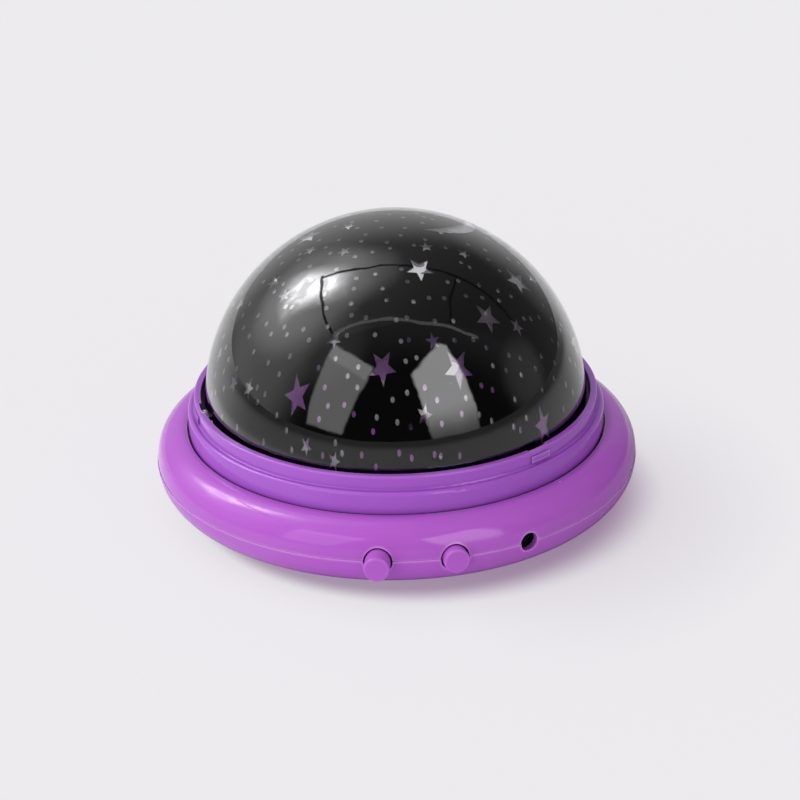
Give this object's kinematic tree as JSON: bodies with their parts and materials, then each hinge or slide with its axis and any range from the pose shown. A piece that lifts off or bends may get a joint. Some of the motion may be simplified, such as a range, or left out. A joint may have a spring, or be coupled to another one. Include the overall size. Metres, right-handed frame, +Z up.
{
  "type": "star night light projector",
  "caption": "Domed star night light projector: a star-printed dome on a motor-driven turning collar over a round battery base with push buttons and a power inlet.",
  "frame": {"origin": "on the table, under the dome's axis, at the centre of the circle of feet", "axes": "+Z up along the dome's and the collar's axis; -Y is the direction in which the middle button, the rotation button, faces; +X is to the right as seen from the buttons"},
  "size_m": [0.14, 0.1423, 0.0859],
  "materials": {
    "purple_plastic": "glossy purple plastic",
    "clear_dome": "clear glossy plastic",
    "star_print": "glossy black print with cut-out stars",
    "cream_plastic": "moulded, unpainted",
    "black_plastic": "moulded, unpainted",
    "steel": "bright plated",
    "pcb_green": "solder mask",
    "led_white": "clear lens",
    "led_red": "tinted lens",
    "led_green": "tinted lens",
    "led_blue": "tinted lens",
    "cell_jacket": "printed jacket",
    "rubber": "dull",
    "wire_red": "PVC",
    "wire_yellow": "PVC",
    "wire_black": "PVC"
  },
  "bodies": {
    "base": {"bottom_housing": "purple_plastic", "top_cover": "purple_plastic", "light_switch": "black_plastic", "rotation_switch": "black_plastic", "dc_jack": "black_plastic", "jack_pin": "steel", "main_pcb": "pcb_green", "pcb_components": "black_plastic", "pcb_screws": "steel", "led_board": "cream_plastic", "led_white": "led_white", "led_red": "led_red", "led_green": "led_green", "led_blue": "led_blue", "led_board_screws": "steel", "motor_can": "steel", "motor_plate": "steel", "motor_screws": "steel", "idler_axle": "steel", "turntable_clips": "black_plastic", "clip_screws": "steel", "battery_1": "cell_jacket", "battery_2": "cell_jacket", "battery_3": "cell_jacket", "contact_plates": "steel", "contact_springs": "steel", "rubber_feet": "rubber", "housing_screws": "steel", "led_wires": "wire_red", "motor_wires": "wire_yellow", "battery_wires": "wire_black"},
    "turntable": {"turntable": "purple_plastic"},
    "dome": {"dome_shell": "clear_dome", "star_film": "star_print"},
    "light_button": {"light_button": "purple_plastic", "light_plunger": "cream_plastic"},
    "rotation_button": {"rotation_button": "purple_plastic", "rotation_plunger": "cream_plastic"},
    "idler": {"idler_gear": "cream_plastic"},
    "pinion": {"drive_pinion": "cream_plastic", "motor_shaft": "steel"},
    "battery_door": {"battery_door": "purple_plastic", "door_screws": "steel"}
  },
  "joints": [
    {"name": "turntable_spin", "type": "hinge", "parent": "base", "child": "turntable", "pos_m": [0, 0, 0.02], "axis": [0, 0, 1], "continuous": true},
    {"name": "idler_spin", "type": "hinge", "parent": "base", "child": "idler", "pos_m": [-0.02728, -0.03194, 0.0216], "axis": [0, 0, 1], "continuous": true},
    {"name": "pinion_spin", "type": "hinge", "parent": "base", "child": "pinion", "pos_m": [-0.00996, -0.02704, 0.0216], "axis": [0, 0, 1], "continuous": true},
    {"name": "dome_lift", "type": "slide", "parent": "turntable", "child": "dome", "axis": [0, 0, 1], "range_m": [0, 0.045]},
    {"name": "light_press", "type": "slide", "parent": "base", "child": "light_button", "axis": [0.299, 0.9542, 0], "range_m": [0, 0.003], "stiffness_N_per_m": 400},
    {"name": "rotation_press", "type": "slide", "parent": "base", "child": "rotation_button", "axis": [0, 1, 0], "range_m": [-0.0024, 0.0006], "stiffness_N_per_m": 400},
    {"name": "door_slide", "type": "slide", "parent": "base", "child": "battery_door", "axis": [0, 0, -1], "range_m": [0, 0.03]}
  ],
  "couplings": [
    {"joint": "idler_spin", "follows": "turntable_spin", "ratio": 5.2},
    {"joint": "pinion_spin", "follows": "turntable_spin", "ratio": -6.5}
  ]
}
